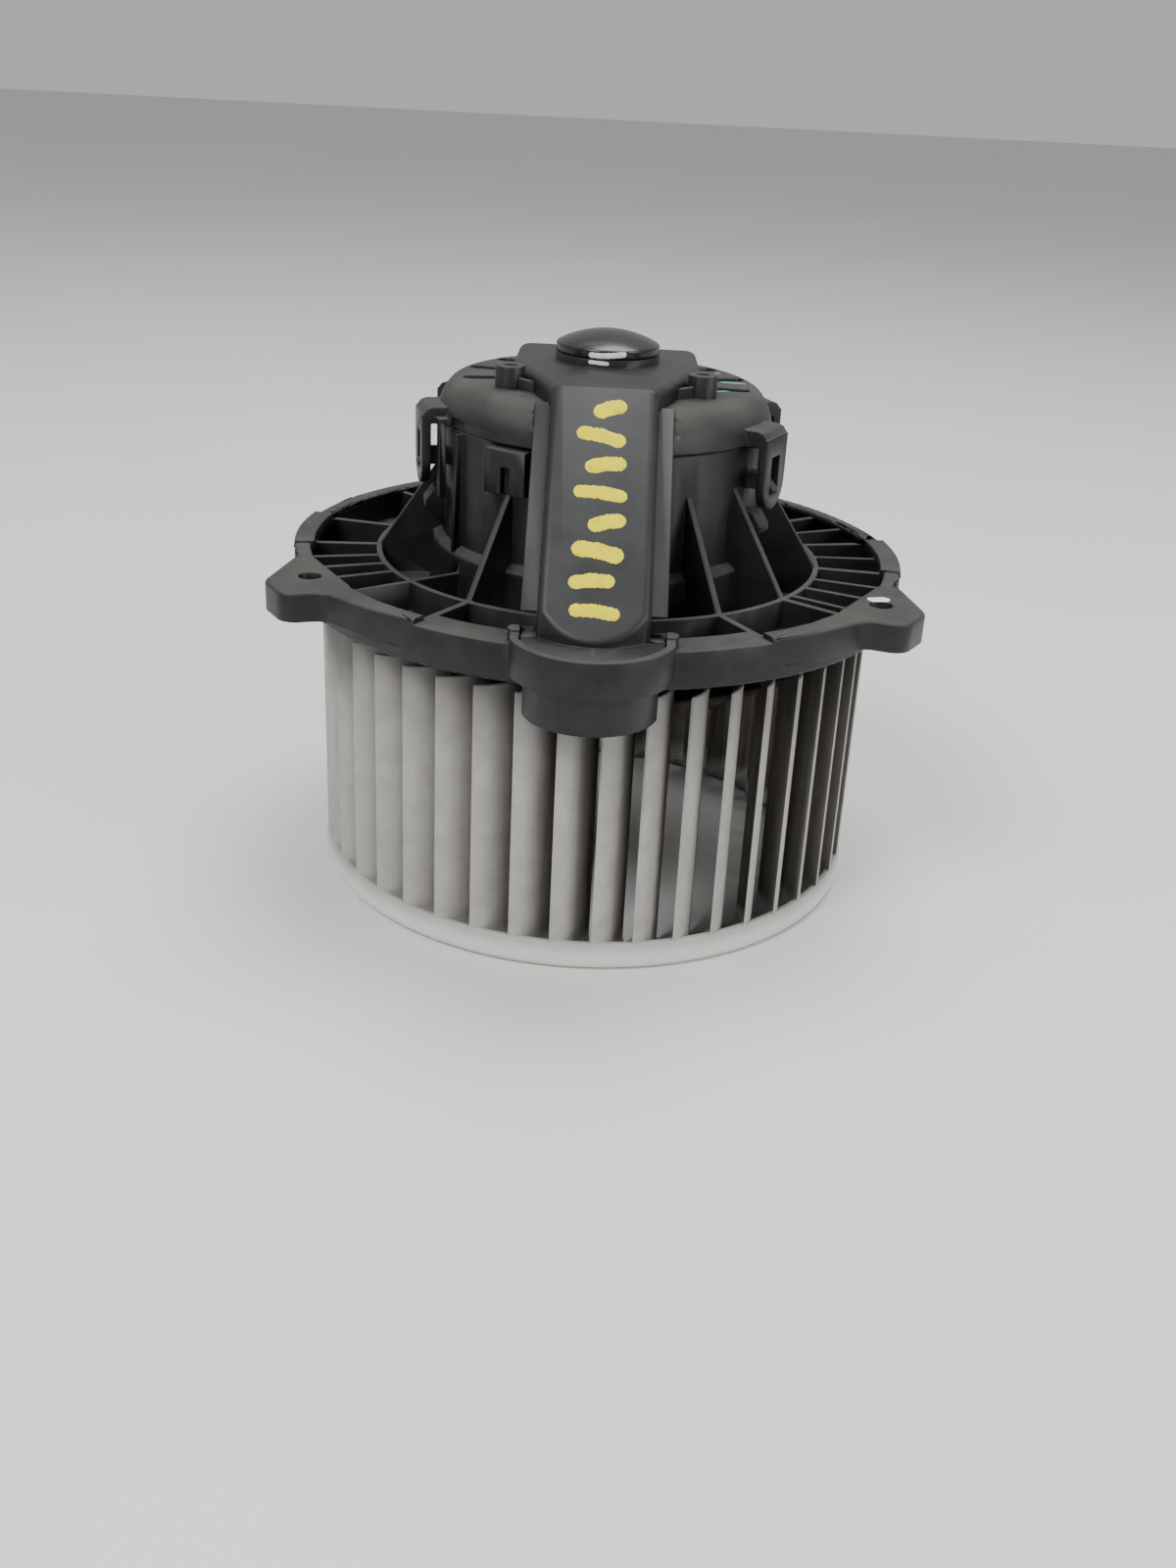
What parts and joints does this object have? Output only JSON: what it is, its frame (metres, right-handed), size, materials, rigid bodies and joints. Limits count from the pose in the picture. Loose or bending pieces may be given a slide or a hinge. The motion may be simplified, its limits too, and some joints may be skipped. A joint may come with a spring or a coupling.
{
  "type": "cabin heater blower motor",
  "caption": "Vehicle cabin blower: a brush motor in a ribbed three-eared flange under a cooling duct, turning a squirrel-cage fan wheel.",
  "frame": {"origin": "on the shaft axis at the mounting plane, which is the underside of the flange ears", "axes": "+Z along the shaft, away from the fan wheel and towards the motor's cap; -Y towards the cooling duct; +X completes a right-handed frame"},
  "size_m": [0.1698, 0.197, 0.1528],
  "materials": {
    "housing_plastic": "talc-filled moulding, satin, dusty on top",
    "cap_plastic": "semi-gloss black",
    "wheel_plastic": "light grey, dusty",
    "can_steel": "zinc-plated",
    "shaft_steel": "ground",
    "spring_steel": "dark spring steel",
    "ferrite": "sintered, matt dark grey",
    "lamination_steel": "varnished lamination edges",
    "copper": "enamelled or turned copper",
    "brass": "stamped brass",
    "bush_bronze": "oil-filled sintered bronze",
    "carbon": "brush carbon",
    "rubber": "soft black rubber",
    "end_plate_plastic": "brown phenolic moulding",
    "lead_insulation": "black lead insulation",
    "socket_plastic": "black moulded connector"
  },
  "bodies": {
    "housing": {"motor_holder": "housing_plastic", "motor_cover": "housing_plastic", "cooling_duct": "housing_plastic", "top_cap": "cap_plastic", "motor_can": "can_steel", "field_magnets": "ferrite", "magnet_springs": "spring_steel", "brush_plate": "end_plate_plastic", "brush_holders": "brass", "brush_springs": "spring_steel", "rear_bearing": "bush_bronze", "front_bearing": "bush_bronze", "rear_bearing_retainer": "spring_steel", "front_bearing_retainer": "spring_steel", "lower_rubber_mount": "rubber", "upper_rubber_mount": "rubber", "motor_screws": "shaft_steel", "power_socket": "socket_plastic", "terminal_blades": "brass", "motor_leads": "lead_insulation", "suppression_chokes": "copper"},
    "rotor": {"shaft": "shaft_steel", "armature_core": "lamination_steel", "armature_winding": "copper", "commutator": "copper", "commutator_core": "end_plate_plastic", "thrust_washers": "shaft_steel", "fan_wheel_ring": "wheel_plastic", "fan_wheel_hub": "wheel_plastic", "fan_wheel_blades": "wheel_plastic", "fan_hub_clip": "spring_steel", "balance_clip": "spring_steel"},
    "left_brush": {"brush_left": "carbon"},
    "right_brush": {"brush_right": "carbon"}
  },
  "joints": [
    {"name": "rotor_spin", "type": "hinge", "parent": "housing", "child": "rotor", "pos_m": [0, 0, 0], "axis": [0, 0, 1], "continuous": true},
    {"name": "left_brush_slide", "type": "slide", "parent": "housing", "child": "left_brush", "axis": [-1, 0, 0], "range_m": [0, 0.004], "stiffness_N_per_m": 250, "springref_m": -0.006},
    {"name": "right_brush_slide", "type": "slide", "parent": "housing", "child": "right_brush", "axis": [1, 0, 0], "range_m": [0, 0.004], "stiffness_N_per_m": 250, "springref_m": -0.006}
  ]
}
